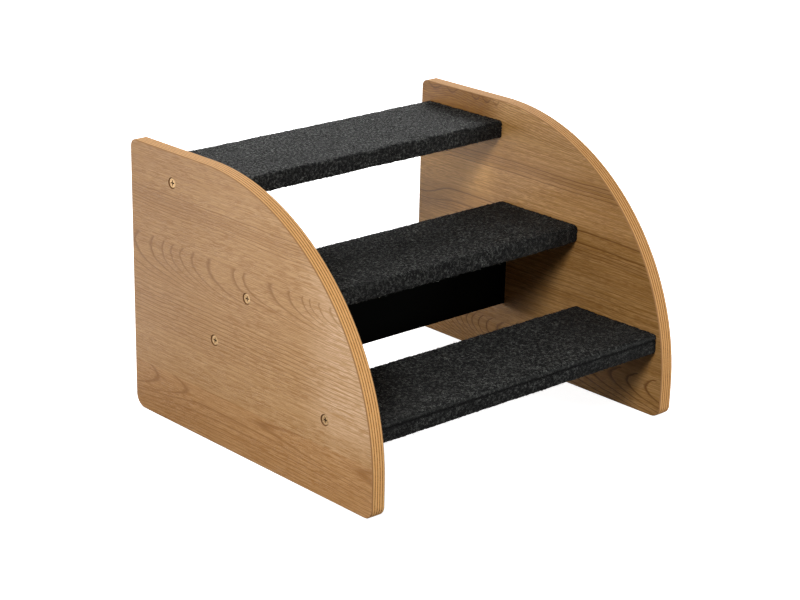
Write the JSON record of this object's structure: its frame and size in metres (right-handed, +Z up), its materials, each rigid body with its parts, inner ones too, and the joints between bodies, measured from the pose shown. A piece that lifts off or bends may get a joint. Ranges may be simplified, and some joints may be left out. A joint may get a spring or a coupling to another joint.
{
  "type": "pet stairs",
  "caption": "Low indoor pet steps: curved plywood side panels joined by felt-covered treads and a black cross brace",
  "frame": {"origin": "On the floor, at the centre of the bottom of the bounding box: midway between the side panels and midway between their front and back edges", "axes": "+X runs across the width to the right as seen from the front, +Y runs from the front to the back, +Z is up"},
  "size_m": [0.466, 0.421, 0.325],
  "materials": {
    "plywood": "open-pored light brown veneer with a clear matt lacquer, plies showing along the edge",
    "tread_board": "raw fibreboard under the felt",
    "felt": "charcoal needle-punched felt with pale fibres through it",
    "black_board": "matt black lacquer",
    "screw_brass": "dull yellow plating",
    "dowel_beech": "raw beech"
  },
  "bodies": {
    "root": {"side_panel_left": "plywood", "side_panel_right": "plywood", "tread_board_bottom": "tread_board", "tread_board_middle": "tread_board", "tread_board_top": "tread_board", "felt_cover_bottom": "felt", "felt_cover_middle": "felt", "felt_cover_top": "felt", "cross_brace": "black_board", "bottom_tread_screws": "screw_brass", "middle_tread_screws": "screw_brass", "top_tread_screws": "screw_brass", "cross_brace_screws": "screw_brass", "bottom_tread_dowels": "dowel_beech", "middle_tread_dowels": "dowel_beech", "top_tread_dowels": "dowel_beech", "cross_brace_dowels": "dowel_beech"}
  },
  "joints": []
}
